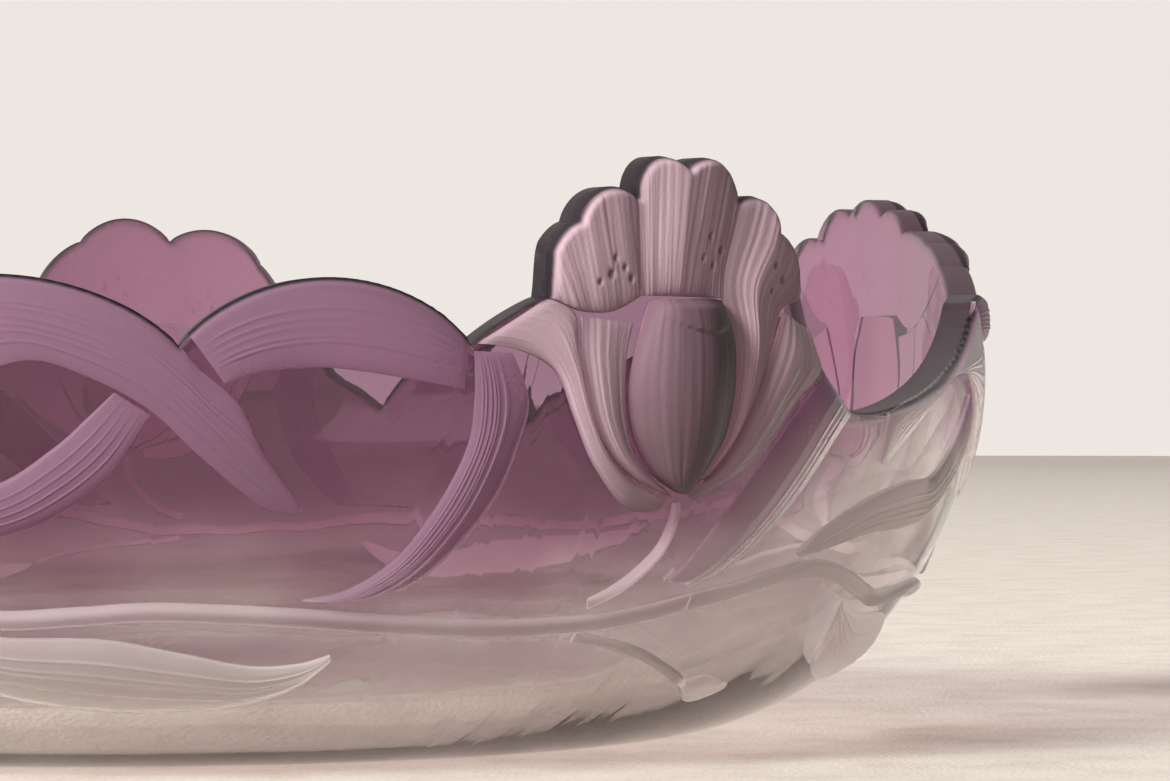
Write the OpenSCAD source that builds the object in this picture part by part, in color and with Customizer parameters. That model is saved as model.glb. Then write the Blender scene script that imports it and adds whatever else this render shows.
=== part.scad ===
// Round art-glass bowl with a scalloped flower rim, cast in one piece of glass.
// Millimetres, +Z up, origin at the middle of the flat foot. The first blossom faces -Y.
// The relief is drawn as [angle, height] points on the outer surface. Angles are degrees
// from a blossom's middle, positive to the right; heights are those of a 95 mm bowl.

/* [Body] */
// Outer radius of the upright wall
rim_r = 150; // [135:1:170]
// Radius of the flat foot that the bowl stands on
foot_r = 92; // [80:1:105]
// Height at which the curved side turns upright
belly_h = 66; // [56:1:72]
// Height of the bowl to the tips of the blossoms
bowl_h = 95; // [85:1:110]
// Height of the seam between the shoulder and the upright wall
seam_h = 36; // [30:1:44]
// Glass thickness over the foot
floor_t = 8; // [5:0.5:12]
// Wall thickness where the side turns upright
wall_t = 6; // [4:0.5:8]
// Wall thickness at the rim
rim_t = 5; // [3:0.5:7]

/* [Rim] */
// How far the long arch of the rim rises over its chord
long_arch_rise = 15; // [8:0.5:18]
// How far the short arch of the rim rises over its chord
short_arch_rise = 10; // [5:0.5:14]
// How far a petal lobe bulges out of its chord
lobe_bulge = 2.8; // [1:0.1:4]

/* [Relief] */
// Height of the step at the outline of every relief
edge_step = 0.4; // [0.2:0.1:0.8]
// Relief height of the petals
petal_h = 1.8; // [1:0.1:3]
// Relief height of the leaves
leaf_h = 1.5; // [1:0.1:3]
// Relief height of the bud
bud_h = 6; // [2:0.1:8]
// Relief height of the stems
stem_h = 1.4; // [0.8:0.1:2.5]
// Width of the stem that runs round the bowl
stem_w = 2.6; // [1.5:0.1:4]
// Width of the stem under the bud
bud_stem_w = 1.6; // [1:0.1:2.5]

/* [Hidden] */
$fn = 180;
SECTORS = 5;
STEP = 360 / SECTORS;
DRAWN_H = 95;
KINDS = ["back_petals", "side_petals", "bud", "bud_stem", "short_arch_leaf", "long_arch_leaf",
         "sickle_leaf", "strap_leaf", "broad_leaf", "low_leaf", "ring_stem"];

cavity_a = rim_r - wall_t - foot_r;
cavity_b = belly_h - floor_t;
margin = 5;
profile_steps = 14;
wall_steps = 7;

// Rim line of a repeat: notches between the lobes, from the dip left of the long arch to the next dip.
// The rim was ground by hand, so the second and third repeats differ from the others.
DIP = [-56.7, 56];
RIM_1 = [DIP, [-32.3, 65.5], [-15.2, 65.9], [-10.3, 73.2], [-8.5, 84.6], [-4.2, 88.4],
         [-0.7, 93.2], [3.8, 88.4], [7.1, 83.8], [9.3, 77], [11, 65.5], DIP + [STEP, 0]];
RIM_2 = [DIP, [-34, 74], [-22.5, 75.5], [-17, 81.5], [-12, 86], [-6.3, 88.5],
         [-2, 92], [3.3, 92.5], [8, 88], [12, 82], [13.5, 68], DIP + [STEP, 0]];
RIM_3 = [DIP, [-34, 49.5], [-20.3, 53.7], [-12.5, 76], [-10.2, 85.5], [-3.1, 90],
         [4, 90], [7.5, 80], [9.3, 76], [10.3, 71], [11.5, 65.5], DIP + [STEP, 0]];
RIMS = [RIM_1, RIM_2, RIM_3, RIM_1, RIM_1];
// Bulge of each lobe over its chord, as a share of its own kind's bulge
BULGES_1 = [long_arch_rise, short_arch_rise, 0.6, 0.9 * lobe_bulge, 1.15 * lobe_bulge,
            1.4 * lobe_bulge, 1.35 * lobe_bulge, lobe_bulge, 0.5 * lobe_bulge, -0.5, -0.8];
BULGES_2 = [-long_arch_rise / 3, short_arch_rise / 10, 0.5, 0.6, 0.8,
            0.8 * lobe_bulge, lobe_bulge, 1.1 * lobe_bulge, lobe_bulge, -0.5, -0.8];
BULGES_3 = [0.8 * long_arch_rise, 1.5 * short_arch_rise, -1.5, 0.2 * lobe_bulge, 1.6 * lobe_bulge,
            1.7 * lobe_bulge, 0.6 * lobe_bulge, 0.3, 0.3, -0.3, -0.8];
BULGES = [BULGES_1, BULGES_2, BULGES_3, BULGES_1, BULGES_1];
// Share of its full width that the short arch leaf has in each repeat
ARCH_SHARES = [1, 0.6, 0.8, 1, 1];
// Least width of a leaf along the rim, and least gap between it and the leaf below it
MIN_LEAF = 2.5;
LEAF_GAP = 3;
// Least fall of the long arch leaf's tail past the notch, for each degree
TAIL_FALL = 0.8;

// ---- Surface of the bowl ----

function mm_per_deg() = rim_r * PI / 180;
function lift(z) = z * bowl_h / DRAWN_H;
function outer_r(z) = z >= belly_h ? rim_r
    : foot_r + (rim_r - foot_r) * sqrt(max(0, 1 - pow(1 - max(z, 0) / belly_h, 2)));
function inner_r(z) = z >= belly_h
    ? rim_r - wall_t + (wall_t - rim_t) * (z - belly_h) / (bowl_h - belly_h)
    : foot_r + cavity_a * sqrt(max(0, 1 - pow((belly_h - z) / cavity_b, 2)));
function outward(z) = let (
        across = (outer_r(z) - foot_r) / pow(rim_r - foot_r, 2),
        down = z >= belly_h ? 0 : (belly_h - z) / pow(belly_h, 2))
    [across, -down] / norm([across, down]);
// Point on the wall at a drawn [angle, height], raised by h square to the glass
function on_wall(p, h) = let (z = lift(p[1]), n = outward(z), r = outer_r(z) + h * n[0])
    [r * sin(p[0]), -r * cos(p[0]), z + h * n[1]];

// ---- Curves ----

function blend(p0, p1, p2, p3, u) = 0.5 * (2 * p1 + (p2 - p0) * u
    + (2 * p0 - 5 * p1 + 4 * p2 - p3) * u * u + (3 * p1 - p0 - 3 * p2 + p3) * u * u * u);
// Smooth curve through the points, t from 0 to 1
function curve(pts, t) = let (last = len(pts) - 1, s = max(0, min(1, t)) * last,
        i = min(floor(s), last - 1))
    blend(pts[max(i - 1, 0)], pts[i], pts[i + 1], pts[min(i + 2, last)], s - i);
function notch(k, i) = RIMS[k - 1][i];
// A lobe of the rim of repeat k between notches i and i + 1
function lobe(k, i, t) = let (
        a = notch(k, i), b = notch(k, i + 1),
        chord = [(b[0] - a[0]) * mm_per_deg(), b[1] - a[1]],
        out = [-chord[1] / mm_per_deg(), chord[0]] / norm(chord))
    a + (b - a) * t + out * BULGES[k - 1][i] * pow(4 * t * (1 - t), 0.8);
function lobes(k, first, last, steps) = concat(
    [for (i = [first:last]) for (s = [0:steps - 1]) lobe(k, i, s / steps)], [lobe(k, last, 1)]);
// Point p kept at least a depth below lobe i of the rim
function below_rim(k, i, p, depth = MIN_LEAF) = let (a = notch(k, i), b = notch(k, i + 1),
        t = max(0, min(1, (p[0] - a[0]) / (b[0] - a[0]))))
    [p[0], min(p[1], lobe(k, i, t)[1] - depth)];

// Point p right of the notch between the two arches, kept below a line that falls from it
function below_notch(k, p, depth) = let (from = notch(k, 1))
    [p[0], p[0] < from[0] ? p[1] : min(p[1], from[1] - depth - TAIL_FALL * (p[0] - from[0]))];

// ---- Relief: a patch between four edge curves, raised off the wall ----

function patch_point(left, right, low, top, u, v) =
    (1 - v) * curve(low, u) + v * curve(top, u) + (1 - u) * curve(left, v) + u * curve(right, v)
    - ((1 - u) * (1 - v) * left[0] + u * (1 - v) * right[0]
       + (1 - u) * v * left[len(left) - 1] + u * v * right[len(right) - 1]);
// Crown of the patch: shape "leaf" falls to the step at both ends, "petal" only at the low end,
// and "bud" falls part of the way at its mouth
function crown(shape, u, v) = pow(max(0, sin(180 * u)), 0.7)
    * pow(max(0, sin(shape == "leaf" ? 180 * v : shape == "bud" ? 150 * v : min(90, 150 * v))), 0.5);

module patch(left, right, low, top, h, nu, nv, shape) {
    row = nu + 1;
    count = row * (nv + 1);
    flat = [for (j = [0:nv]) for (i = [0:nu]) patch_point(left, right, low, top, i / nu, j / nv)];
    front = [for (j = [0:nv]) for (i = [0:nu])
        on_wall(flat[j * row + i], edge_step + (h - edge_step) * crown(shape, i / nu, j / nv))];
    back = [for (p = flat) on_wall(p, 0)];
    faces_out = [for (j = [0:nv - 1]) for (i = [0:nu - 1]) let (a = j * row + i)
        each [[a, a + row, a + 1], [a + 1, a + row, a + row + 1]]];
    faces_in = [for (f = faces_out) [f[2] + count, f[1] + count, f[0] + count]];
    rim = concat([for (i = [0:nu]) i], [for (j = [1:nv]) j * row + nu],
                 [for (i = [nu - 1:-1:0]) nv * row + i], [for (j = [nv - 1:-1:1]) j * row]);
    sides = [for (s = [0:len(rim) - 1]) let (a = rim[s], b = rim[(s + 1) % len(rim)])
        each [[a, b, a + count], [b, b + count, a + count]]];
    faces = concat(faces_out, faces_in, sides);
    // Edges that run downwards turn the patch inside out, so its faces are turned back
    across = right[floor(len(right) / 2)] - left[floor(len(left) / 2)];
    along = left[len(left) - 1] - left[0];
    turned = cross(across, along) < 0;
    polyhedron(concat(front, back), [for (f = faces) turned ? [f[2], f[1], f[0]] : f]);
}
// A leaf between two long edges with short straight ends
module leaf(left, right, h, nu, nv) {
    patch(left, right, [left[0], right[0]], [left[len(left) - 1], right[len(right) - 1]],
          h, nu, nv, "leaf");
}
// A stem of even width along a centre line
module stem(line, w, h, nv) {
    ahead = [for (i = [0:len(line) - 1]) line[min(i + 1, len(line) - 1)] - line[max(i - 1, 0)]];
    side = [for (d = ahead) let (m = [d[0] * mm_per_deg(), d[1]]) [m[1] / mm_per_deg(), -m[0]] / norm(m)];
    leaf([for (i = [0:len(line) - 1]) line[i] - side[i] * w / 2],
         [for (i = [0:len(line) - 1]) line[i] + side[i] * w / 2], h, 2, nv);
}
module sector(k) {
    rotate([0, 0, (k - 1) * STEP]) children();
}

// ---- Body ----

module base_disc() {
    color([0.86, 0.82, 0.80])
    cylinder(r = foot_r, h = floor_t);
}

module bowl_shoulder() {
    outer = [for (s = [0:profile_steps]) let (z = seam_h * pow(s / profile_steps, 2)) [outer_r(z), z]];
    inner = [for (s = [profile_steps:-1:0])
        let (z = floor_t + (seam_h - floor_t) * pow(s / profile_steps, 2)) [inner_r(z), z]];
    color([0.80, 0.70, 0.74])
    rotate_extrude() polygon(concat(outer, inner));
}

module bowl_wall() {
    outer = [for (s = [0:wall_steps]) let (z = seam_h + (belly_h - seam_h) * s / wall_steps) [outer_r(z), z]];
    inner = [for (s = [wall_steps:-1:0])
        let (z = seam_h + (belly_h - seam_h) * s / wall_steps) [inner_r(z), z]];
    color([0.62, 0.45, 0.56])
    difference() {
        rotate_extrude() polygon(concat(outer, [[rim_r, bowl_h], [rim_r - rim_t, bowl_h]], inner));
        for (k = [1:SECTORS]) sector(k) {
            rim_cut(k, 0, 0);
            rim_cut(k, 1, 1);
            rim_cut(k, 2, len(BULGES_1) - 1);
        }
    }
}
// Clears the space over a run of lobes. Neighbouring cuts meet just outside the wall and cross inside it.
module rim_cut(k, first, last) {
    line = lobes(k, first, last, 7);
    middle = (line[0][0] + line[len(line) - 1][0]) / 2;
    edge = [for (p = line) [(rim_r + 0.5) * sin(p[0] - middle), lift(p[1])]];
    top = bowl_h + margin;
    outline = concat([[edge[0][0], top]], edge, [[edge[len(edge) - 1][0], top]]);
    rotate([0, 0, middle]) translate([0, -rim_r / 2, 0]) rotate([90, 0, 0])
        linear_extrude(rim_r / 2 + margin) polygon(outline);
}

// ---- Blossom ----

module back_petals(k) {
    left_low = [-10.2, 72.9];
    mid_left = [-4, 73.4];
    mid_right = [2.3, 73.2];
    left_top = lobes(k, 3, 4, 6);
    mid_top = lobes(k, 5, 6, 6);
    right_top = lobes(k, 7, 8, 6);
    split_l = [mid_left, [-4.1, 80], notch(k, 5)];
    fold = [2.4, 77.6];
    split_r = [mid_right, fold, (fold + notch(k, 7)) / 2, notch(k, 7)];
    color([0.68, 0.50, 0.58]) sector(k) {
        patch([left_low, notch(k, 3)], split_l, [left_low, [-8.2, 71], [-6, 71], mid_left],
              left_top, petal_h, 8, 5, "petal");
        patch(split_l, split_r, [mid_left, [-1.4, 73.4], mid_right], mid_top, petal_h, 8, 5, "petal");
        // Its foot runs down beside the bud
        patch(concat([[1.5, 45.6], [3.1, 51.6], [3.5, 58], [3.4, 66]], split_r),
              [[1.8, 45.4], [3.6, 51.2], [5, 57.6], [6.4, 66], [7.3, 71.5], [9, 73.6], notch(k, 9)],
              [[1.5, 45.6], [1.8, 45.4]], right_top, petal_h, 6, 10, "petal");
    }
}

module side_petals(k) {
    color([0.64, 0.46, 0.55]) sector(k) {
        // Flared petal on the left, from the rim down to the foot of the blossom
        leaf([[-14.9, 66], [-12.4, 65.2], [-9.9, 62], [-8.4, 54.8], [-7, 48.6], [-5, 43.2], [-3.4, 40.8],
              [-1.3, 40.7]],
             [[-10.4, 72.8], [-8.6, 70.4], [-8.4, 63.6], [-7.5, 55.4], [-6, 49.4], [-4.2, 45.7], [-2.8, 44.1],
              [-1, 42.4]], petal_h, 4, 9);
        // Inner petal between it and the bud
        leaf([[-8.2, 70.2], [-8.1, 63.6], [-7.2, 55.4], [-5.7, 49.6], [-3.9, 46], [-2.5, 44.5], [-0.8, 42.9]],
             [[-4.6, 69.2], [-5.1, 63.6], [-5, 56], [-4.3, 50.8], [-3.2, 47.6], [-2, 45.2], [-0.7, 43.2]],
             petal_h * 0.8, 4, 8);
        // Flared petal on the right
        leaf([[7.6, 71.2], [6.7, 66], [5.3, 57.6], [3.9, 51], [2.4, 46.4], [0.7, 43]],
             [[10.3, 68.2], [11.2, 62.4], [9, 57.8], [6.8, 51.2], [4.6, 46], [1.2, 42.4]],
             petal_h, 4, 8);
    }
}

module bud(k) {
    left = [[-0.3, 43.5], [-2.3, 46.3], [-3.9, 51.4], [-4.6, 56.4], [-4.7, 61], [-4.2, 66.8], [-3.4, 72.4]];
    right = [[0.3, 43.5], [1.2, 46.4], [2.5, 51.6], [3, 57.4], [3.1, 62.2], [2.9, 66.8], [2, 72.8]];
    color([0.60, 0.44, 0.53]) sector(k)
    patch(left, right, [left[0], right[0]], [left[6], [-2.4, 72.9], [0, 73.1], right[6]],
        bud_h, 6, 10, "bud");
}

module bud_stem(k) {
    line = [[0, 41.8], [0, 38.4], [-0.4, 34.8], [-1.5, 31.4], [-2.9, 28.6], [-4.6, 26.4]];
    twig = [[-4.6, 21.2], [-1.3, 20], [2, 18.2], [5.2, 15.8], [8.8, 13]];
    color([0.66, 0.55, 0.58]) sector(k) {
        stem(line, bud_stem_w, stem_h, 8);
        stem(twig, bud_stem_w * 0.75, stem_h, 6);
        // Small pod at the end of the twig
        leaf([[9.4, 13], [11.5, 13.6], [15, 12.4]], [[9.4, 12], [12, 9.6], [15.2, 11.6]], leaf_h, 2, 4);
    }
}

// ---- Leaves between two blossoms ----

// Arches of the rim, as points along the lobe
function arch(k, i, from_t, to_t, steps) =
    [for (s = [0:steps]) lobe(k, i, from_t + (to_t - from_t) * s / steps)];

module short_arch_leaf(k) {
    // Width of the leaf at shares of the way along the arch
    widths = [[0.15, 11.3], [0.3, 12.5], [0.48, 13.3], [0.66, 13.4], [0.84, 11.7], [0.97, 8.4]];
    lower = [for (w = widths) lobe(k, 1, w[0]) - [0, w[1] * ARCH_SHARES[k - 1]]];
    color([0.62, 0.45, 0.56]) sector(k)
    leaf(arch(k, 1, 0.03, 0.985, 8), lower, leaf_h, 4, 12);
}

module long_arch_leaf(k) {
    lower = [[-51.7, 47.4], [-46.5, 55.5], [-43.6, 61], [-40.5, 63.4], [-37.2, 60.8], [-33.9, 56.1],
             [-31.1, 49.5], [-27.7, 42.6], [-25.2, 40.9]];
    start = [[-52.3, 47.6], [-52.2, 55], [-51.3, 63.5]];
    tail = [[-31.2, 62.2], [-28.9, 56.9], [-27.3, 49.5], [-25, 41.6]];
    upper = concat([for (p = start) below_rim(k, 0, p, 0.5)], arch(k, 0, 0.3, 1, 6),
                   [for (p = tail) below_notch(k, p, 1)]);
    color([0.62, 0.45, 0.56]) sector(k)
    leaf(upper, [for (p = lower) below_notch(k, below_rim(k, 0, p), MIN_LEAF)], leaf_h, 4, 24);
}

module sickle_leaf(k) {
    lower = [[13.4, 32.8], [17, 34.4], [21, 36.2], [26, 36.8], [30, 38], [33.2, 41.4], [36, 47], [37.9, 55]];
    upper = [[13, 33.6], [15, 37.4], [20, 42.2], [25, 44.4], [29.3, 45.2], [32.6, 50.4],
        [34.6, 55], [36, 58.2]];
    // The tip stays under the long arch leaf of the next repeat
    repeat = [STEP, 0];
    next = k % SECTORS + 1;
    tips = [for (line = [upper, lower]) [for (p = line)
        below_rim(next, 0, p - repeat, MIN_LEAF + LEAF_GAP) + repeat]];
    color([0.62, 0.46, 0.55]) sector(k) leaf(tips[0], tips[1], leaf_h, 4, 13);
}

module strap_leaf(k) {
    left = [[-15.1, 64.9], [-15, 57.6], [-15.3, 50.2], [-16.9, 41.2], [-19, 33.7], [-21.7, 29.2],
        [-24.4, 27.8]];
    right = [[-12.7, 64.6], [-11.6, 57.6], [-12, 51.6], [-13.2, 42.7], [-15.8, 33.7], [-18.4, 29],
        [-22, 27.4]];
    color([0.64, 0.48, 0.57]) sector(k) leaf(left, right, leaf_h, 4, 12);
}

module broad_leaf(k) {
    left = [[11.9, 61.3], [9.8, 57.3], [7.6, 51], [5.4, 43.6], [3.6, 37.3], [2.3, 32.4], [1.3, 30]];
    right = [[15, 55.6], [13.3, 51], [11.1, 43.6], [9.2, 38], [7.4, 33.6], [5.4, 30.4], [3.2, 28.8]];
    color([0.58, 0.45, 0.52]) sector(k) leaf(left, right, leaf_h * 1.4, 4, 12);
}

module low_leaf(k) {
    upper = [[-49.6, 25.2], [-46.5, 23.4], [-43, 22.2], [-36.8, 21.9], [-32, 19.8], [-27.3, 17.6],
             [-24, 17.8], [-21.9, 19.2]];
    lower = [[-49.4, 23.6], [-47.5, 18.6], [-44, 13.6], [-38, 11], [-31, 10.5], [-26.8, 11.6],
             [-23.6, 14.4], [-21.8, 18.4]];
    color([0.74, 0.66, 0.66]) sector(k) leaf(upper, lower, leaf_h, 4, 12);
}

module ring_stem(k) {
    line = [[-68, 26.2], [-64, 27.9], [-60, 29.9], [-56, 30.8], [-51.6, 29.2], [-47, 26.6], [-43, 25],
            [-38, 25.6], [-33, 26.2], [-25, 25.2], [-18, 23.9], [-11, 23], [-4, 23.4], [0, 24.5], [4, 26.2]];
    color([0.70, 0.58, 0.62]) sector(k) stem(line, stem_w, stem_h, 26);
}

base_disc();
bowl_shoulder();
bowl_wall();
for (k = [1:SECTORS]) {
    back_petals(k);
    side_petals(k);
    bud(k);
    bud_stem(k);
    short_arch_leaf(k);
    long_arch_leaf(k);
    sickle_leaf(k);
    strap_leaf(k);
    broad_leaf(k);
    low_leaf(k);
    ring_stem(k);
}
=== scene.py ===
"""Cut and etched amethyst glass bowl: a polished cast body under satin relief flowers and leaves."""

import math

import bmesh
import bpy
from mathutils import Matrix, Vector, kdtree, noise


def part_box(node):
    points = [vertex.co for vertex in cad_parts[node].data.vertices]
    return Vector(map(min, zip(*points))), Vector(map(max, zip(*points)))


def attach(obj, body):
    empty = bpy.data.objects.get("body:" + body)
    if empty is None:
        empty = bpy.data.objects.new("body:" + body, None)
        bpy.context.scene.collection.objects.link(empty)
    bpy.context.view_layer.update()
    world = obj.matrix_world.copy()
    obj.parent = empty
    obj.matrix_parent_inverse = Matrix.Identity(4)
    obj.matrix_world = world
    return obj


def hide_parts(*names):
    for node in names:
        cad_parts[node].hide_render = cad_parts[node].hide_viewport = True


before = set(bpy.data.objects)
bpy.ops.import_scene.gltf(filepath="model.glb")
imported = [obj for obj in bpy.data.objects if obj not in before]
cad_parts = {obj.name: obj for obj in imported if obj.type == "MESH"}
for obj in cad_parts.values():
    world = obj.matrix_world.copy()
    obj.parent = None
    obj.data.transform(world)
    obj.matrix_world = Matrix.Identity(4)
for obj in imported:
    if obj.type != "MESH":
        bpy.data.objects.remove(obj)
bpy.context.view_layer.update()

# ---- Sizes in millimetres and degrees, the same as the part's own ----

MM = 0.001
SECTORS = 5
STEP = 360 / SECTORS
RIM_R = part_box("bowl_wall")[1][0] / MM
FOOT_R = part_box("base_disc")[1][0] / MM
FLOOR_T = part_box("base_disc")[1][2] / MM
BELLY_H = 66
BOWL_H = 95
WALL_T = 6
RIM_T = 5
LONG_ARCH_RISE = 15
SHORT_ARCH_RISE = 10
LOBE_BULGE = 2.8
EDGE_STEP = 0.4
PETAL_H = 1.8
LEAF_H = 1.5
BUD_H = 6
STEM_H = 1.4
STEM_W = 2.6
BUD_STEM_W = 1.6
MM_PER_DEG = RIM_R * math.pi / 180

# Finish of the glass
RIM_ROUND = 1.0             # how far the ground rim is rounded back at its outer edge
RIM_BAND = 1.5              # width over which it is rounded
INNER_ROUND = 0.5           # the same at the inner edge
GROUND_FADE = (0.25, 0.85)  # from the rim line, where the dark ground glass starts and stops fading
INNER_FADE = (0.4, 0.9)     # the same on the inside
SINK = 0.3                  # how deep a relief is rooted in the wall
DARK_SPOT_SHARE = 0.75        # how dark the spots in the petals are
HOLLOW_SHADE = 0.38         # how dark the painted shade is in a petal's hollows, where its relief is low
BACK_SHADE = 0.25           # how dark the painted shade is on a petal's back, seen through the wall
BUD_DARK_AND_SHADE = (0.78, 1.0)      # how dark the bud is at its left and right side: its deep glass, with painted shade growing towards its right flank
CREASE = math.radians(35)

# Rim line of a repeat: notches between the lobes, from the dip left of the long arch to the next dip,
# and how far each lobe bulges out of its chord. The second and third repeats differ from the others.
DIP = (-56.7, 56)
NEXT_DIP = (DIP[0] + STEP, DIP[1])
RIM_1 = [DIP, (-32.3, 65.5), (-15.2, 65.9), (-10.3, 73.2), (-8.5, 84.6), (-4.2, 88.4),
         (-0.7, 93.2), (3.8, 88.4), (7.1, 83.8), (9.3, 77), (11, 65.5), NEXT_DIP]
RIM_2 = [DIP, (-34, 74), (-22.5, 75.5), (-17, 81.5), (-12, 86), (-6.3, 88.5),
         (-2, 92), (3.3, 92.5), (8, 88), (12, 82), (13.5, 68), NEXT_DIP]
RIM_3 = [DIP, (-34, 49.5), (-20.3, 53.7), (-12.5, 76), (-10.2, 85.5), (-3.1, 90),
         (4, 90), (7.5, 80), (9.3, 76), (10.3, 71), (11.5, 65.5), NEXT_DIP]
RIMS = [RIM_1, RIM_2, RIM_3, RIM_1, RIM_1]
BULGES_1 = [LONG_ARCH_RISE, SHORT_ARCH_RISE, 0.6, 0.9 * LOBE_BULGE, 1.15 * LOBE_BULGE,
            1.4 * LOBE_BULGE, 1.35 * LOBE_BULGE, LOBE_BULGE, 0.5 * LOBE_BULGE, -0.5, -0.8]
BULGES_2 = [-LONG_ARCH_RISE / 3, SHORT_ARCH_RISE / 10, 0.5, 0.6, 0.8,
            0.8 * LOBE_BULGE, LOBE_BULGE, 1.1 * LOBE_BULGE, LOBE_BULGE, -0.5, -0.8]
BULGES_3 = [0.8 * LONG_ARCH_RISE, 1.5 * SHORT_ARCH_RISE, -1.5, 0.2 * LOBE_BULGE, 1.6 * LOBE_BULGE,
            1.7 * LOBE_BULGE, 0.6 * LOBE_BULGE, 0.3, 0.3, -0.3, -0.8]
BULGES = [BULGES_1, BULGES_2, BULGES_3, BULGES_1, BULGES_1]
LOBES = len(BULGES_1)
ARCH_SHARES = [1, 0.6, 0.8, 1, 1]
MIN_LEAF = 2.5
LEAF_GAP = 3
TAIL_FALL = 0.8


# ---- Curves and the surface of the bowl ----

def curve(points, t):
    """Smooth curve through the points, t from 0 to 1."""
    last = len(points) - 1
    s = max(0.0, min(1.0, t)) * last
    i = min(int(s), last - 1)
    p0, p1, p2, p3 = points[max(i - 1, 0)], points[i], points[i + 1], points[min(i + 2, last)]
    w = s - i
    return tuple(0.5 * (2 * b + (c - a) * w + (2 * a - 5 * b + 4 * c - d) * w * w
                        + (3 * b - a - 3 * c + d) * w ** 3) for a, b, c, d in zip(p0, p1, p2, p3))


def notch(k, i):
    return RIMS[k - 1][i]


def lobe(k, i, t):
    """Point of the rim of repeat k between notches i and i + 1, as (angle, height)."""
    a, b = notch(k, i), notch(k, i + 1)
    chord = Vector(((b[0] - a[0]) * MM_PER_DEG, b[1] - a[1]))
    out = Vector((-chord.y / MM_PER_DEG, chord.x)) / chord.length
    rise = BULGES[k - 1][i] * max(0.0, 4 * t * (1 - t)) ** 0.8
    angle = a[0] + (b[0] - a[0]) * t + out.x * rise
    return min(max(angle, a[0]), b[0]), a[1] + (b[1] - a[1]) * t + out.y * rise


def lobes(k, first, last, steps):
    return [lobe(k, i, s / steps) for i in range(first, last + 1) for s in range(steps)] + [lobe(k, last, 1)]


def arch(k, i, start, end, steps):
    """Points along a lobe of the rim."""
    return [lobe(k, i, start + (end - start) * s / steps) for s in range(steps + 1)]


def below_rim(k, i, p, depth=MIN_LEAF):
    """Point p kept at least a depth below lobe i of the rim."""
    a, b = notch(k, i), notch(k, i + 1)
    t = max(0.0, min(1.0, (p[0] - a[0]) / (b[0] - a[0])))
    return p[0], min(p[1], lobe(k, i, t)[1] - depth)


def below_notch(k, p, depth):
    """Point p right of the notch between the two arches, kept below a line that falls from it."""
    start = notch(k, 1)
    return p if p[0] < start[0] else (p[0], min(p[1], start[1] - depth - TAIL_FALL * (p[0] - start[0])))


def outer_r(z):
    if z >= BELLY_H:
        return RIM_R
    return FOOT_R + (RIM_R - FOOT_R) * math.sqrt(max(0.0, 1 - (1 - max(z, 0) / BELLY_H) ** 2))


def on_wall(angle, z, h):
    """Point on the outer surface at a drawn angle and height, raised by h square to the glass."""
    r = outer_r(z)
    across = (r - FOOT_R) / (RIM_R - FOOT_R) ** 2
    down = 0 if z >= BELLY_H else (BELLY_H - z) / BELLY_H ** 2
    size = math.hypot(across, down)
    return turned(angle, r + h * across / size, z - h * down / size)


def turned(angle, r, z):
    a = math.radians(angle)
    return Vector((r * math.sin(a), -r * math.cos(a), z)) * MM


def rim_line_tree():
    """Fine points of the rim line, for the distance of a point on the wall from the rim."""
    points = []
    for turn in range(-1, SECTORS + 1):
        k = turn % SECTORS + 1
        for i in range(LOBES):
            line = [lobe(k, i, s / 120) for s in range(120)]
            points += [((angle + turn * STEP) * MM_PER_DEG, z) for angle, z in line]
    tree = kdtree.KDTree(len(points))
    for i, p in enumerate(points):
        tree.insert((p[0], p[1], 0), i)
    tree.balance()
    return tree


RIM_TREE = rim_line_tree()


def rim_gap(angle, z):
    """Distance in millimetres, along the wall, from the rim line. The angle counts from blossom 1."""
    return RIM_TREE.find((angle * MM_PER_DEG, z, 0))[2]


def edge_fall(gap):
    """How far the rounded edge has fallen back at this distance from the rim, 0 to -RIM_ROUND."""
    if gap >= RIM_BAND:
        return 0.0
    return RIM_ROUND * (math.sqrt(max(0.0, 1 - (1 - gap / RIM_BAND) ** 2)) - 1)


def smooth(low, high, x):
    t = max(0.0, min(1.0, (x - low) / (high - low)))
    return t * t * (3 - 2 * t)


def ground_share(gap):
    return 1 - smooth(*GROUND_FADE, gap)


# ---- Finished meshes ----

def shade(bm):
    bmesh.ops.recalc_face_normals(bm, faces=bm.faces[:])
    for face in bm.faces:
        face.smooth = True
    for edge in bm.edges:
        edge.smooth = edge.calc_face_angle(0) < CREASE


def to_piece(name, bm, material, nodes):
    mesh = bpy.data.meshes.new(name)
    bm.to_mesh(mesh)
    bm.free()
    mesh.materials.append(material)
    piece = bpy.data.objects.new(name, mesh)
    bpy.context.scene.collection.objects.link(piece)
    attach(piece, "root")
    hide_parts(*nodes)
    return piece


# ---- Polished body ----

OUTER_BEND = (RIM_R - FOOT_R + BELLY_H) / 2
INNER_BEND = BELLY_H - FLOOR_T
RIM_ROWS = (3.6, 2.6, 1.9, 1.4, 1.0, 0.65, 0.35, 0.12, 0)
INNER_RIM_ROWS = (0, 0.25, 0.7, 2)


def outer_at(length):
    """(radius, height) of the outer surface, this far up from the edge of the foot."""
    turn = length / OUTER_BEND
    if turn < math.pi / 2:
        return FOOT_R + (RIM_R - FOOT_R) * math.sin(turn), BELLY_H * (1 - math.cos(turn))
    return RIM_R, BELLY_H + length - OUTER_BEND * math.pi / 2


def inner_at(length):
    turn = length / INNER_BEND
    if turn < math.pi / 2:
        return (FOOT_R + (RIM_R - WALL_T - FOOT_R) * math.sin(turn),
                BELLY_H - (BELLY_H - FLOOR_T) * math.cos(turn))
    up = length - INNER_BEND * math.pi / 2
    return RIM_R - WALL_T + (WALL_T - RIM_T) * up / (BOWL_H - BELLY_H), BELLY_H + up


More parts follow.
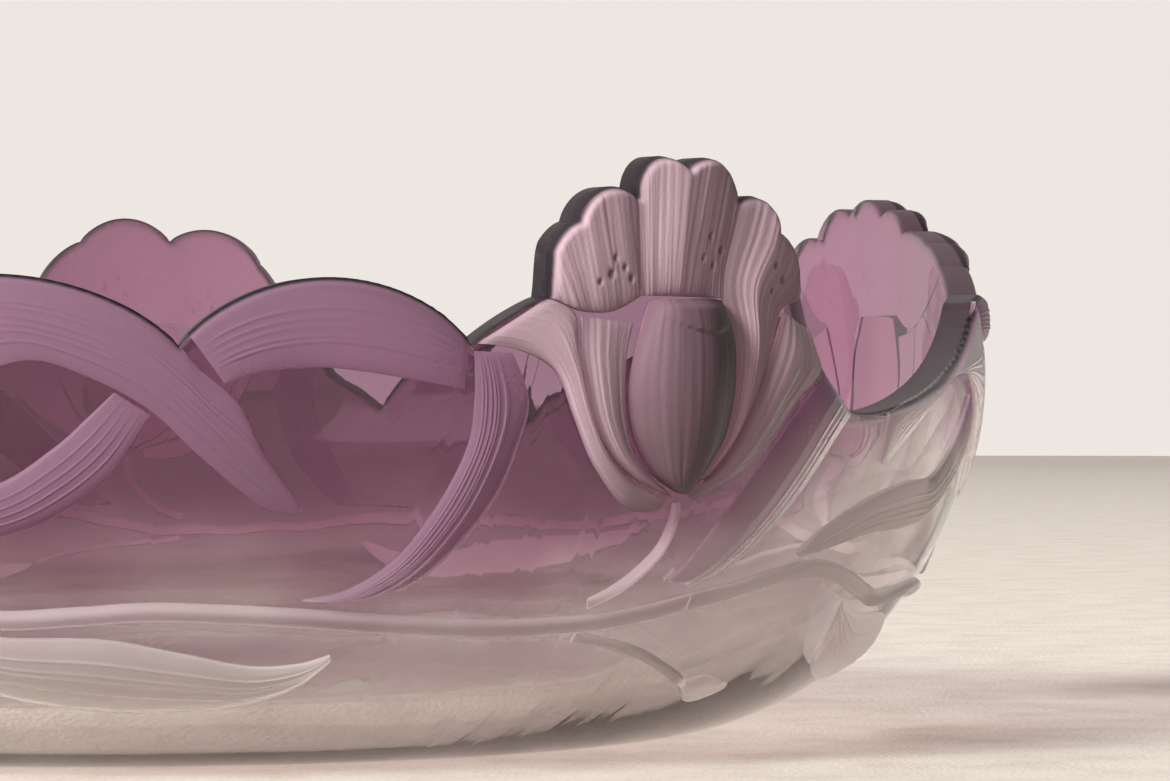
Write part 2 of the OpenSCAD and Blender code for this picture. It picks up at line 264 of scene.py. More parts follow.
def length_to(z, bend, bottom):
    """Length up a side to the height z, for a bend that starts at the height bottom."""
    if z >= BELLY_H:
        return bend * math.pi / 2 + z - BELLY_H
    return bend * math.acos((BELLY_H - z) / (BELLY_H - bottom))


def rim_columns():
    """Top and foot angle of each column round the bowl, with its rim height."""
    columns = []
    for k in range(1, SECTORS + 1):
        tops = []
        for i in range(LOBES):
            a, b = notch(k, i), notch(k, i + 1)
            size = math.hypot((b[0] - a[0]) * MM_PER_DEG, b[1] - a[1]) + abs(BULGES[k - 1][i])
            steps = max(4, round(size / 0.9))
            tops += [lobe(k, i, s / steps) for s in range(steps)]
        for i in range(1, len(tops)):
            tops[i] = (max(tops[i][0], tops[i - 1][0] + 0.03), tops[i][1])
        gaps = [max(0.2, b[0] - a[0]) for a, b in zip(tops, tops[1:] + [(tops[0][0] + STEP, 0)])]
        feet = [tops[0][0] + STEP * sum(gaps[:i]) / sum(gaps) for i in range(len(tops))]
        turn = STEP * (k - 1)
        columns += [(top[0] + turn, foot + turn, top[1]) for top, foot in zip(tops, feet)]
    return columns


def column_points(top_angle, foot_angle, rim_z):
    """(angle, radius, height, ground share) from the middle of the foot, over the rim, to the middle
    of the floor inside."""
    points = [(foot_angle, FOOT_R * share, 0, 0) for share in (0, 0.5, 0.9)]
    full = length_to(rim_z, OUTER_BEND, 0)
    for s in range(25):
        points.append((0, full - RIM_ROWS[0] - (full - RIM_ROWS[0]) * (1 - s / 24), 0, "outer"))
    for back in RIM_ROWS[1:]:
        points.append((0, full - back, 0, "outer"))
    inner_full = length_to(rim_z, INNER_BEND, FLOOR_T)
    points.append((0, 0.5, 0, "rim"))
    for back in INNER_RIM_ROWS:
        points.append((0, inner_full - back, back, "inner"))
    for s in range(24):
        back = INNER_RIM_ROWS[-1]
        points.append((0, (inner_full - back) * (1 - (s + 1) / 24), back, "inner"))
    points += [(foot_angle, FOOT_R * share, FLOOR_T, 0) for share in (0.9, 0.5, 0)]
    done = []
    for angle, length, third, kind in points:
        if kind == "outer":
            r, z = outer_at(length)
        elif kind == "inner":
            r, z = inner_at(length)
        elif kind == "rim":
            r, z = RIM_R - RIM_ROUND - length * (RIM_T - RIM_ROUND - INNER_ROUND), rim_z
        else:
            done.append((angle, length, third, 0.0))
            continue
        angle = foot_angle + (top_angle - foot_angle) * smooth(rim_z - 32, rim_z, z)
        share = 1.0
        if kind != "rim":
            gap = rim_gap(angle, z)
            if kind == "outer":
                r += edge_fall(gap)
                share = ground_share(gap)
            else:
                near = max(0.0, 1 - gap / (2 * INNER_ROUND))
                r += INNER_ROUND * near ** 2
                share = 1 - smooth(*INNER_FADE, gap)
        done.append((angle, r, z, share))
    return done


def make_body(material):
    columns = [column_points(*column) for column in rim_columns()]
    across, up = len(columns), len(columns[0]) - 1
    bm = bmesh.new()
    ground = bm.verts.layers.float.new("ground_edge_and_shade")
    bmesh.ops.create_grid(bm, x_segments=across, y_segments=up, size=0.5)
    for v in bm.verts:
        i, j = round((v.co.x + 0.5) * across), round((v.co.y + 0.5) * up)
        angle, r, z, share = columns[i % across][j]
        v.co = turned(angle, r, z)
        v[ground] = share
    bmesh.ops.remove_doubles(bm, verts=bm.verts[:], dist=0.00001)
    for v in bm.verts:
        if v[ground] == 0 and v.co.z > FLOOR_T * MM * 1.5:
            wave = noise.noise(v.co * 55) * 0.12 + noise.noise(v.co * 140) * 0.03
            r = math.hypot(v.co.x, v.co.y)
            if r / MM < outer_r(v.co.z / MM) - WALL_T / 2:
                v.co.xy *= 1 + wave * MM / r
    shade(bm)
    return to_piece("bowl_body", bm, material, ["base_disc", "bowl_shoulder", "bowl_wall"])


# ---- Relief ----

def patch(bm, k, left, right, low, top, cells, height, darkening=None):
    """Closed patch of repeat k between four edge lines, raised by height(u, v, point) and rounded off
    at the rim. Given a function for its darkening, it is dark where that says so, and it gets painted shade
    in its hollows and at its back."""
    across, along = cells
    lows, tops = ([curve(line, i / across) for i in range(across + 1)] for line in (low, top))
    lefts, rights = ([curve(line, j / along) for j in range(along + 1)] for line in (left, right))
    ground = bm.verts.layers.float["ground_edge_and_shade"]
    back = bmesh.ops.create_grid(bm, x_segments=across, y_segments=along, size=0.5)["verts"]
    faces = list({face for v in back for face in v.link_faces})
    lifted = bmesh.ops.extrude_face_region(bm, geom=faces)["geom"]
    front = {v for v in lifted if isinstance(v, bmesh.types.BMVert)}
    flat = {}
    for v in list(back) + list(front):
        i, j = round((v.co.x + 0.5) * across), round((v.co.y + 0.5) * along)
        u, w = i / across, j / along
        if (i, j) not in flat:
            point = tuple((1 - w) * lows[i][n] + w * tops[i][n] + (1 - u) * lefts[j][n] + u * rights[j][n]
                          - ((1 - u) * (1 - w) * left[0][n] + u * (1 - w) * right[0][n]
                             + (1 - u) * w * left[-1][n] + u * w * right[-1][n]) for n in (0, 1))
            flat[i, j] = (point, rim_gap(point[0] + STEP * (k - 1), point[1]))
        point, gap = flat[i, j]
        fall = edge_fall(gap)
        if v in front:
            h = (height(u, w, point) + RIM_ROUND) * (1 + fall / RIM_ROUND) - RIM_ROUND
        else:
            h = fall - SINK
        v.co = on_wall(point[0], point[1], h)
        # Darkening towards the dark ground colour: the rim's ground finish; on the front the spots or the
        # bud's painted shade, and painted shade in the hollows; on the back painted shade seen through the
        # wall, with the spots or the bud's shade at half strength
        shares = [ground_share(gap)]
        if darkening and v in front:
            shares += [darkening(point), HOLLOW_SHADE * (1 - smooth(0.2, 1.5, h))]
        elif darkening:
            shares += [BACK_SHADE, 0.5 * darkening(point)]
        v[ground] = max(shares)


def leaf(bm, k, left, right, cells, height, darkening=None):
    patch(bm, k, left, right, [left[0], right[0]], [left[-1], right[-1]], cells, height, darkening)


def stem(bm, k, line, width, cells, height):
    """Stem of even width along a centre line."""
    left, right = [], []
    for i, p in enumerate(line):
        a, b = line[max(i - 1, 0)], line[min(i + 1, len(line) - 1)]
        ahead = Vector(((b[0] - a[0]) * MM_PER_DEG, b[1] - a[1])).normalized() * (width / 2)
        left.append((p[0] - ahead.y / MM_PER_DEG, p[1] + ahead.x))
        right.append((p[0] + ahead.y / MM_PER_DEG, p[1] - ahead.x))
    leaf(bm, k, left, right, cells, height)


def crown(u, v, ends="both", ridge=0.5):
    """Rise of a relief from its outline, with its ridge at this share of the width."""
    u = 0.5 * u / ridge if u < ridge else 0.5 + 0.5 * (u - ridge) / (1 - ridge)
    along = 180 * v if ends == "both" else 150 * v if ends == "bud" else min(90, 150 * v)
    lengthwise = math.radians(along)
    return max(0.0, math.sin(math.pi * u)) ** 0.7 * max(0.0, math.sin(lengthwise)) ** 0.5


def streaks(u, v, count, seed):
    """Fine flutes along a petal over a few broad folds, about -1 to 1."""
    fine = noise.noise((u * count, v * 1.2, seed))
    finer = noise.noise((u * count * 2.3, v * 1.2, seed + 3))
    broad = noise.noise((u * count * 0.2, v * 0.7, seed + 7))
    return 0.45 * fine + 0.2 * finer + 1.3 * broad


def veins(u, v, lines):
    """Raised veins along a leaf: (share of the width at its start, at its end, width, rise)."""
    total = 0.0
    for start, end, width, rise in lines:
        away = (u - start - (end - start) * v) / width
        total += rise * math.exp(-away * away) * smooth(0, 0.12, v) * (1 - smooth(0.85, 1, v))
    return total


def dimples(point, places):
    total = 0.0
    for angle, z, size in places:
        away = ((point[0] - angle) * MM_PER_DEG) ** 2 + (point[1] - z) ** 2
        total += math.exp(-away / (size * size))
    return total


def plain(point):
    """Darkening of a petal that has no spots; patch still gives it painted shade in its hollows and at its
    back.
    """
    return 0.0


def dark_spots(places):
    """Darkening of a petal with dark spots, longer than wide."""
    def darkening(point):
        total = 0.0
        for angle, z, size in places:
            away = (((point[0] - angle) * MM_PER_DEG) ** 2 + ((point[1] - z) / 1.6) ** 2) / (size * size)
            total = max(total, DARK_SPOT_SHARE * (1 - smooth(0.3, 1.6, away)))
        return total
    return darkening


def relief_height(rise, flutes=(0, 0), lines=(), ends="both", ridge=0.5, seed=1.0, pits=(), peak=0.0):
    """Height of a relief over its outline step. flutes are (count, depth); peak sharpens the ridge."""
    def height(u, v, point):
        body = crown(u, v, ends, ridge)
        fold = 1 - abs(u - ridge) / (ridge if u < ridge else 1 - ridge)
        body = (1 - peak) * body + peak * body * fold
        h = EDGE_STEP + (rise - EDGE_STEP) * body
        soft = smooth(0, 0.04, u) * (1 - smooth(0.96, 1, u))
        if flutes[1]:
            h += soft * flutes[1] * streaks(u, v, flutes[0], seed)
        h += veins(u, v, lines) * soft
        if pits:
            h -= 0.5 * dimples(point, pits)
        return max(h, 0.15)
    return height


def fine_lines(count, start, end, width=0.018, rise=0.13, seed=0.0):
    """Veins side by side over part of the width of a leaf."""
    lines = []
    for n in range(count):
        at = start + (end - start) * (n + 0.5 + 0.5 * noise.noise((n * 1.7, seed, 0.5))) / count
        lines.append((at, at + 0.06 * noise.noise((n * 0.9, seed, 3.5)), width,
                      rise * (1 + 0.5 * noise.noise((n * 2.3, seed, 7.5)))))
    return lines


# Dark spots in the petals, over pits in the left and middle petals: angle, height, size
LEFT_SPOTS = [(-6.4, 76.6, 0.5), (-4.9, 76, 0.45), (-6.1, 79, 0.35), (-5.4, 77.6, 0.35), (-7.2, 75.4, 0.35)]
MIDDLE_SPOTS = [(1.0, 82.6, 0.45), (2.0, 80.6, 0.5), (0.4, 79.4, 0.35), (1.3, 78.2, 0.4)]
RIGHT_SPOTS = [(6.2, 78.4, 0.4), (7.0, 76.2, 0.45), (6.0, 74.6, 0.35)]


def back_petals(bm, k):
    left_low, mid_left, mid_right = (-10.2, 72.9), (-4, 73.4), (2.3, 73.2)
    fold, crest = (2.4, 77.6), notch(k, 7)
    split_l = [mid_left, (-4.1, 80), notch(k, 5)]
    split_r = [mid_right, fold, ((fold[0] + crest[0]) / 2, (fold[1] + crest[1]) / 2), crest]
    patch(bm, k, [left_low, notch(k, 3)], split_l, [left_low, (-8.2, 71), (-6, 71), mid_left],
          lobes(k, 3, 4, 12), (100, 48),
          relief_height(PETAL_H, (30, 0.2), ends="low", ridge=0.6, seed=2.3, pits=LEFT_SPOTS),
          dark_spots(LEFT_SPOTS))
    patch(bm, k, split_l, split_r, [mid_left, (-1.4, 73.4), mid_right], lobes(k, 5, 6, 12), (120, 52),
          relief_height(PETAL_H * 1.15, (34, 0.18), ends="low", ridge=0.5, seed=5.1, peak=0.75,
                        pits=MIDDLE_SPOTS),
          dark_spots(MIDDLE_SPOTS))
    patch(bm, k, [(1.5, 45.6), (3.1, 51.6), (3.5, 58), (3.4, 66)] + split_r,
          [(1.8, 45.4), (3.6, 51.2), (5, 57.6), (6.4, 66), (7.3, 71.5), (9, 73.6), notch(k, 9)],
          [(1.5, 45.6), (1.8, 45.4)], lobes(k, 7, 8, 12), (80, 60),
          relief_height(PETAL_H, (22, 0.22), ends="low", ridge=0.4, seed=8.7, peak=0.5),
          dark_spots(RIGHT_SPOTS))


def side_petals(bm, k):
    leaf(bm, k, [(-14.9, 66), (-12.4, 65.2), (-9.9, 62), (-8.4, 54.8), (-7, 48.6), (-5, 43.2), (-3.4, 40.8),
                 (-1.3, 40.7)],
         [(-10.4, 72.8), (-8.6, 70.4), (-8.4, 63.6), (-7.5, 55.4), (-6, 49.4), (-4.2, 45.7), (-2.8, 44.1),
          (-1, 42.4)],
         (60, 56), relief_height(PETAL_H, (16, 0.2), ridge=0.6, seed=3.3, peak=0.3), plain)
    leaf(bm, k, [(-8.2, 70.2), (-8.1, 63.6), (-7.2, 55.4), (-5.7, 49.6), (-3.9, 46), (-2.5, 44.5),
                 (-0.8, 42.9)],
         [(-4.6, 69.2), (-5.1, 63.6), (-5, 56), (-4.3, 50.8), (-3.2, 47.6), (-2, 45.2), (-0.7, 43.2)],
         (60, 48), relief_height(PETAL_H * 0.8, (12, 0.2), seed=4.9, ridge=0.35, peak=0.4), plain)
    leaf(bm, k, [(7.6, 71.2), (6.7, 66), (5.3, 57.6), (3.9, 51), (2.4, 46.4), (0.7, 43)],
         [(10.3, 68.2), (11.2, 62.4), (9, 57.8), (6.8, 51.2), (4.6, 46), (1.2, 42.4)],
         (60, 48), relief_height(PETAL_H, (14, 0.22), ridge=0.4, seed=6.1, peak=0.5), plain)


def bud(bm, k):
    left = [(-0.3, 43.5), (-2.3, 46.3), (-3.9, 51.4), (-4.6, 56.4), (-4.7, 61), (-4.2, 66.8), (-3.4, 72.4)]
    right = [(0.3, 43.5), (1.2, 46.4), (2.5, 51.6), (3, 57.4), (3.1, 62.2), (2.9, 66.8), (2, 72.8)]
    patch(bm, k, left, right, [left[0], right[0]], [left[-1], (-2.4, 72.9), (0, 73.1), right[-1]],
          (80, 84), bud_height, bud_dark_and_shade)


# The bud's deep glass, darkened further towards its right flank as painted shade
def bud_dark_and_shade(point):
    return BUD_DARK_AND_SHADE[0] + (BUD_DARK_AND_SHADE[1] - BUD_DARK_AND_SHADE[0]) * smooth(-1.5, 1.8, point[0])


def bud_height(u, v, point):
    """Egg shape with fine flutes, folded over at the mouth."""
    fold = 67.9 + 0.24 * (point[0] + 0.2) ** 2
    lip = smooth(fold - 0.2, fold + 0.3, point[1])
    mouth = smooth(0, 1.3, 72.9 - point[1])
    body = crown(u, v, "bud")
    flutes = (0.24 - 0.06 * lip) * streaks(u, v, 24, 9.2) * smooth(0, 0.05, u) * (1 - smooth(0.95, 1, u))
    return EDGE_STEP + (BUD_H - EDGE_STEP) * body * (0.8 + 0.2 * mouth) + 0.45 * lip * body * mouth + flutes


def bud_stem(bm, k):
    stem(bm, k, [(0, 41.8), (0, 38.4), (-0.4, 34.8), (-1.5, 31.4), (-2.9, 28.6), (-4.6, 26.4)],
         BUD_STEM_W, (8, 30), relief_height(STEM_H))
    stem(bm, k, [(-4.6, 21.2), (-1.3, 20), (2, 18.2), (5.2, 15.8), (8.8, 13)],
         BUD_STEM_W * 0.75, (8, 24), relief_height(STEM_H))
    leaf(bm, k, [(9.4, 13), (11.5, 13.6), (15, 12.4)], [(9.4, 12), (12, 9.6), (15.2, 11.6)],
         (16, 20), relief_height(LEAF_H, (5, 0.1), seed=1.9))


def short_arch_leaf(bm, k):
    widths = [(0.15, 11.3), (0.3, 12.5), (0.48, 13.3), (0.66, 13.4), (0.84, 11.7), (0.97, 8.4)]
    lower = [(lobe(k, 1, t)[0], lobe(k, 1, t)[1] - width * ARCH_SHARES[k - 1]) for t, width in widths]
    leaf(bm, k, arch(k, 1, 0.03, 0.985, 12), lower, (90, 70),
         relief_height(LEAF_H, (9, 0.05), seed=2.9, ridge=0.6, lines=fine_lines(5, 0.3, 0.75, seed=2.9)))


def long_arch_leaf(bm, k):
    lower = [(-51.7, 47.4), (-46.5, 55.5), (-43.6, 61), (-40.5, 63.4), (-37.2, 60.8), (-33.9, 56.1),
             (-31.1, 49.5), (-27.7, 42.6), (-25.2, 40.9)]
    tail = [(-31.2, 62.2), (-28.9, 56.9), (-27.3, 49.5), (-25, 41.6)]
    start = [(-52.3, 47.6), (-52.2, 55), (-51.3, 63.5)]
    upper = ([below_rim(k, 0, p, 0.5) for p in start] + arch(k, 0, 0.3, 1, 10)
             + [below_notch(k, p, 1) for p in tail])
    leaf(bm, k, upper, [below_notch(k, below_rim(k, 0, p), MIN_LEAF) for p in lower], (90, 110),
         relief_height(LEAF_H, (9, 0.05), seed=6.6, ridge=0.45, lines=fine_lines(6, 0.25, 0.8, seed=6.6)))


def sickle_leaf(bm, k):
    lower = [(13.4, 32.8), (17, 34.4), (21, 36.2), (26, 36.8), (30, 38), (33.2, 41.4), (36, 47), (38.1, 55.4)]
    upper = [(13, 33.6), (15, 37.4), (20, 42.2), (25, 44.4), (29.3, 45.2), (32.6, 50.4), (34.6, 55),
             (36.1, 58.7)]
    edges = []
    for line in (upper, lower):
        held = [below_rim(k % SECTORS + 1, 0, (p[0] - STEP, p[1]), MIN_LEAF + LEAF_GAP) for p in line]
        edges.append([(angle + STEP, z) for angle, z in held])
    leaf(bm, k, edges[0], edges[1], (70, 74),
         relief_height(LEAF_H, (8, 0.05), seed=3.8, ridge=0.5, lines=fine_lines(4, 0.25, 0.8, seed=3.8)))


def strap_leaf(bm, k):
    left = [(-15.1, 64.9), (-15, 57.6), (-15.3, 50.2), (-16.9, 41.2), (-19, 33.7), (-21.7, 29.2),
            (-24.4, 27.8)]
    right = [(-12.7, 64.6), (-11.6, 57.6), (-12, 51.6), (-13.2, 42.7), (-15.8, 33.7), (-18.4, 29),
             (-22, 27.4)]
    leaf(bm, k, left, right, (90, 70),
         relief_height(LEAF_H, (9, 0.06), seed=7.4, ridge=0.35,
                       lines=fine_lines(7, 0.1, 0.62, rise=0.17, seed=7.4)))


def broad_leaf(bm, k):
    left = [(11.9, 61.3), (9.8, 57.3), (7.6, 51), (5.4, 43.6), (3.6, 37.3), (2.3, 32.4), (1.3, 30)]
    right = [(15, 55.6), (13.3, 51), (11.1, 43.6), (9.2, 38), (7.4, 33.6), (5.4, 30.4), (3.2, 28.8)]
    leaf(bm, k, left, right, (70, 64),
         relief_height(LEAF_H * 1.4, (8, 0.06), seed=5.5, ridge=0.4, peak=0.45,
                       lines=fine_lines(3, 0.5, 0.85, rise=0.1, seed=5.5)))


def low_leaf(bm, k):
    upper = [(-49.6, 25.2), (-46.5, 23.4), (-43, 22.2), (-36.8, 21.9), (-32, 19.8), (-27.3, 17.6),
             (-24, 17.8), (-21.9, 19.2)]
    lower = [(-49.4, 23.6), (-47.5, 18.6), (-44, 13.6), (-38, 11), (-31, 10.5), (-26.8, 11.6),
             (-23.6, 14.4), (-21.8, 18.4)]
    leaf(bm, k, upper, lower, (80, 80),
         relief_height(LEAF_H, (8, 0.05), seed=8.1, ridge=0.45,
                       lines=fine_lines(4, 0.2, 0.7, rise=0.1, seed=8.1)))


def ring_stem(bm, k):
    stem(bm, k, [(-68, 26.2), (-64, 27.9), (-60, 29.9), (-56, 30.8), (-51.6, 29.2), (-47, 26.6), (-43, 25),
                 (-38, 25.6), (-33, 26.2), (-25, 25.2), (-18, 23.9), (-11, 23), (-4, 23.4), (0, 24.5),
                 (4, 26.2)],
         STEM_W, (16, 150), relief_height(STEM_H, (3, 0.05), seed=4.4, ridge=0.35))


def make_reliefs(kind, build, material):
    """The relief of one kind on every repeat of the bowl, one piece for each node."""
    made = {}
    for k in range(1, SECTORS + 1):
        same = next((n for n in made if RIMS[n - 1] is RIMS[k - 1]
                     and RIMS[n % SECTORS] is RIMS[k % SECTORS]), None)
        if same:
            bm = made[same].copy()
        else:
            bm = bmesh.new()
            bm.verts.layers.float.new("ground_edge_and_shade")
            build(bm, k)
            shade(bm)
        made[k] = bm
    for k, bm in made.items():
        bmesh.ops.rotate(bm, cent=(0, 0, 0), matrix=Matrix.Rotation(math.radians(STEP * (k - 1)), 3, "Z"),
                         verts=bm.verts[:])
        to_piece(f"{kind}_{k}_satin", bm, material, [f"{kind}_{k}"])


# ---- Finishes ----

def effect(name, inputs, outputs):
    """Empty node group with these named inputs (kind, value) and outputs."""
    group = bpy.data.node_groups.new(name, "ShaderNodeTree")
    for label, (kind, value) in inputs.items():
        group.interface.new_socket(label, in_out="INPUT", socket_type=kind).default_value = value
    for label, kind in outputs.items():
        group.interface.new_socket(label, in_out="OUTPUT", socket_type=kind)
    return group, group.nodes.new("NodeGroupInput"), group.nodes.new("NodeGroupOutput")


def node(tree, kind, values=None, **settings):
    made = tree.nodes.new(kind)
    for name, value in settings.items():
        setattr(made, name, value)
    for name, value in (values or {}).items():
        made.inputs[name].default_value = value
    return made


def mix_colour(tree):
    """Sockets of a colour mix: share, first colour, second colour and the mixed colour."""
    made = node(tree, "ShaderNodeMix", data_type="RGBA")
    return made.inputs[0], made.inputs[6], made.inputs[7], made.outputs[2]


CLEAR_SIDE = (0.6, -0.8, 0)          # the glass stays clear higher up on this side of the casting,
CLEAR_FROM, CLEAR_TO = 0.088, 0.15   # from this far out to the side
CLEAR_RISE = 0.031                   # and by this much
FADE_SWAY = 0.034                    # how far the fade wanders up and down


def amethyst_fade():
    """Colour that deepens from the foot to the rim, as the amethyst flows into the clear glass."""
    group, given, made = effect(
        "amethyst_fade",
        {"Pale": ("NodeSocketColor", (0.9, 0.88, 0.85, 1)), "Deep": ("NodeSocketColor", (0.5, 0.3, 0.4, 1)),
         "Pale Below": ("NodeSocketFloat", 0.013), "Deep Above": ("NodeSocketFloat", 0.036)},
        {"Colour": "NodeSocketColor"})
    link = group.links.new
    place = node(group, "ShaderNodeTexCoord")
    split = node(group, "ShaderNodeSeparateXYZ")
    cloud = node(group, "ShaderNodeTexNoise", {"Scale": 22, "Detail": 3})
    wander = node(group, "ShaderNodeMath", {1: -0.5}, operation="ADD")
    sway = node(group, "ShaderNodeMath", {1: FADE_SWAY}, operation="MULTIPLY")
    level = node(group, "ShaderNodeMath", operation="ADD")
    side = node(group, "ShaderNodeVectorMath", operation="DOT_PRODUCT")
    side.inputs[1].default_value = CLEAR_SIDE
    clear = node(group, "ShaderNodeMapRange", {"From Min": CLEAR_FROM, "From Max": CLEAR_TO, "To Min": 0.0,
                                               "To Max": -CLEAR_RISE}, interpolation_type="SMOOTHSTEP")
    lowered = node(group, "ShaderNodeMath", operation="ADD")
    ramp = node(group, "ShaderNodeMapRange", interpolation_type="SMOOTHSTEP")
    share, first, second, colour = mix_colour(group)
    link(place.outputs["Object"], split.inputs[0])
    link(place.outputs["Object"], cloud.inputs["Vector"])
    link(cloud.outputs["Fac"], wander.inputs[0])
    link(wander.outputs[0], sway.inputs[0])
    link(split.outputs["Z"], level.inputs[0])
    link(sway.outputs[0], level.inputs[1])
    link(place.outputs["Object"], side.inputs[0])
    link(side.outputs["Value"], clear.inputs["Value"])
    link(level.outputs[0], lowered.inputs[0])
    link(clear.outputs["Result"], lowered.inputs[1])
    link(lowered.outputs[0], ramp.inputs["Value"])
    link(given.outputs["Pale Below"], ramp.inputs["From Min"])
    link(given.outputs["Deep Above"], ramp.inputs["From Max"])
    link(ramp.outputs["Result"], share)
    link(given.outputs["Pale"], first)
    link(given.outputs["Deep"], second)
    link(colour, made.inputs["Colour"])
    return group


def ground_band_and_shade():
    """Turns a finish into the dark ground finish of the rim where the mesh says so. The petals' dark spots,
    and the painted shade in their hollows, on their backs and on the bud, are darkened the same way."""
    group, given, made = effect(
        "ground_band_and_shade",
        {"Colour": ("NodeSocketColor", (1, 1, 1, 1)), "Roughness": ("NodeSocketFloat", 0.1),
         "Ground And Shade Colour": ("NodeSocketColor", (0.032, 0.022, 0.03, 1)),
         "Ground Roughness": ("NodeSocketFloat", 0.4)},
        {"Colour": "NodeSocketColor", "Roughness": "NodeSocketFloat"})
    link = group.links.new
    edge = node(group, "ShaderNodeAttribute", attribute_name="ground_edge_and_shade")
    share, first, second, colour = mix_colour(group)
    rough = node(group, "ShaderNodeMix", data_type="FLOAT")
    link(edge.outputs["Fac"], share)
    link(given.outputs["Colour"], first)
    link(given.outputs["Ground And Shade Colour"], second)
    link(edge.outputs["Fac"], rough.inputs[0])
    link(given.outputs["Roughness"], rough.inputs[2])
    link(given.outputs["Ground Roughness"], rough.inputs[3])
    link(colour, made.inputs["Colour"])
    link(rough.outputs[0], made.inputs["Roughness"])
    return group


def etched_grain():
    """Fine even grain of acid-etched glass, with a faint cloudiness over it."""
    group, given, made = effect(
        "etched_grain",
        {"Grain Size": ("NodeSocketFloat", 2400), "Cloud Size": ("NodeSocketFloat", 90)},
        {"Height": "NodeSocketFloat", "Cloud": "NodeSocketFloat"})
    link = group.links.new
    place = node(group, "ShaderNodeTexCoord")
    fine = node(group, "ShaderNodeTexNoise", {"Detail": 3, "Roughness": 0.6})
    cloud = node(group, "ShaderNodeTexNoise", {"Detail": 3, "Roughness": 0.5})
    for noise_node, size in ((fine, "Grain Size"), (cloud, "Cloud Size")):
        link(place.outputs["Object"], noise_node.inputs["Vector"])
        link(given.outputs[size], noise_node.inputs["Scale"])
    link(fine.outputs["Fac"], made.inputs["Height"])
    link(cloud.outputs["Fac"], made.inputs["Cloud"])
    return group


FADE, BAND, GRAIN = amethyst_fade(), ground_band_and_shade(), etched_grain()


def glass(name, pale, deep, transmission, roughness, rough_span, grain_size, grain_depth, cloud_size,
          shadow_tint, ior=1.5, coat=0.0, coat_roughness=0.2):
    """Glass with the amethyst fade, the ground rim and an etched or polished surface. A relief lies on the
    wall's own glass, so light passes from one to the other nearly straight, and its sheen is a coat."""
    made = bpy.data.materials.new(name)
    made.use_nodes = True
    tree = made.node_tree
    tree.nodes.clear()
    link = tree.links.new
    out = node(tree, "ShaderNodeOutputMaterial")
    shader = node(tree, "ShaderNodeBsdfPrincipled", {
        "Transmission Weight": transmission, "IOR": ior, "Coat Weight": coat,
        "Coat Roughness": coat_roughness})
    fade = node(tree, "ShaderNodeGroup", node_tree=FADE)
    band = node(tree, "ShaderNodeGroup", node_tree=BAND)
    grain = node(tree, "ShaderNodeGroup", node_tree=GRAIN)
    fade.inputs["Pale"].default_value = (*pale, 1)
    fade.inputs["Deep"].default_value = (*deep, 1)
    grain.inputs["Grain Size"].default_value = grain_size
    grain.inputs["Cloud Size"].default_value = cloud_size
    rough = node(tree, "ShaderNodeMapRange", {"To Min": roughness, "To Max": roughness + rough_span,
                                              "From Min": 0.3, "From Max": 0.7})
    bump = node(tree, "ShaderNodeBump", {"Strength": 1, "Distance": grain_depth})
    link(fade.outputs["Colour"], band.inputs["Colour"])
    link(grain.outputs["Cloud"], rough.inputs["Value"])
    link(rough.outputs["Result"], band.inputs["Roughness"])
    link(band.outputs["Colour"], shader.inputs["Base Color"])
    link(band.outputs["Roughness"], shader.inputs["Roughness"])
    link(grain.outputs["Height"], bump.inputs["Height"])
    link(bump.outputs["Normal"], shader.inputs["Normal"])
    path = node(tree, "ShaderNodeLightPath")
    clear = node(tree, "ShaderNodeBsdfTransparent", {"Color": (*shadow_tint, 1)})
    either = node(tree, "ShaderNodeMixShader")
    link(path.outputs["Is Shadow Ray"], either.inputs[0])
    link(shader.outputs[0], either.inputs[1])
    link(clear.outputs[0], either.inputs[2])
    link(either.outputs[0], out.inputs["Surface"])
    return made


POLISHED = glass("polished_amethyst", (0.775, 0.75, 0.735), (0.37, 0.205, 0.305), 1.0, 0.0, 0.02,
                 400, 0.000002, 30, (0.89, 0.86, 0.87))
PETAL = glass("satin_petal", (0.70, 0.60, 0.60), (0.70, 0.50, 0.56), 0.3, 0.42, 0.12,
              2600, 0.00006, 90, (0.62, 0.55, 0.58), 1.12, 0.2, 0.4)
BUD = glass("satin_bud", (0.66, 0.42, 0.48), (0.66, 0.39, 0.47), 0.02, 0.4, 0.1,
            2600, 0.00004, 90, (0.4, 0.33, 0.36), 1.3, 0.2, 0.35)
LEAF = glass("satin_leaf", (0.84, 0.79, 0.77), (0.53, 0.33, 0.45), 0.74, 0.25, 0.1,
             2600, 0.00003, 90, (0.78, 0.73, 0.75), 1.08, 0.35, 0.25)
SATIN_PALE = glass("satin_pale", (0.90, 0.86, 0.83), (0.74, 0.57, 0.63), 0.72, 0.3, 0.12,
                   2600, 0.00004, 90, (0.84, 0.80, 0.80), 1.08, 0.4, 0.3)

make_body(POLISHED)
for kind, build, slot, material in (
        ("back_petals", back_petals, "satin_amethyst", PETAL),
        ("side_petals", side_petals, "satin_amethyst", PETAL),
        ("bud", bud, "satin_amethyst", BUD),
        ("bud_stem", bud_stem, "satin_clear", SATIN_PALE),
        ("short_arch_leaf", short_arch_leaf, "satin_amethyst", LEAF),
        ("long_arch_leaf", long_arch_leaf, "satin_amethyst", LEAF),
        ("sickle_leaf", sickle_leaf, "satin_amethyst", LEAF),
        ("strap_leaf", strap_leaf, "satin_amethyst", LEAF),
        ("broad_leaf", broad_leaf, "satin_amethyst", LEAF),
        ("low_leaf", low_leaf, "satin_clear", SATIN_PALE),
        ("ring_stem", ring_stem, "satin_clear", SATIN_PALE)):
    make_reliefs(kind, build, material)


# ---- Floor, light and camera ----

ROOM_LEFT = (-0.75, 0.55, 0.36)
ROOM_LEVELS = (0.07, 0.8)       # light of the room on its dark and its bright side
MIRRORED = 0.35                 # share of the backdrop in reflections


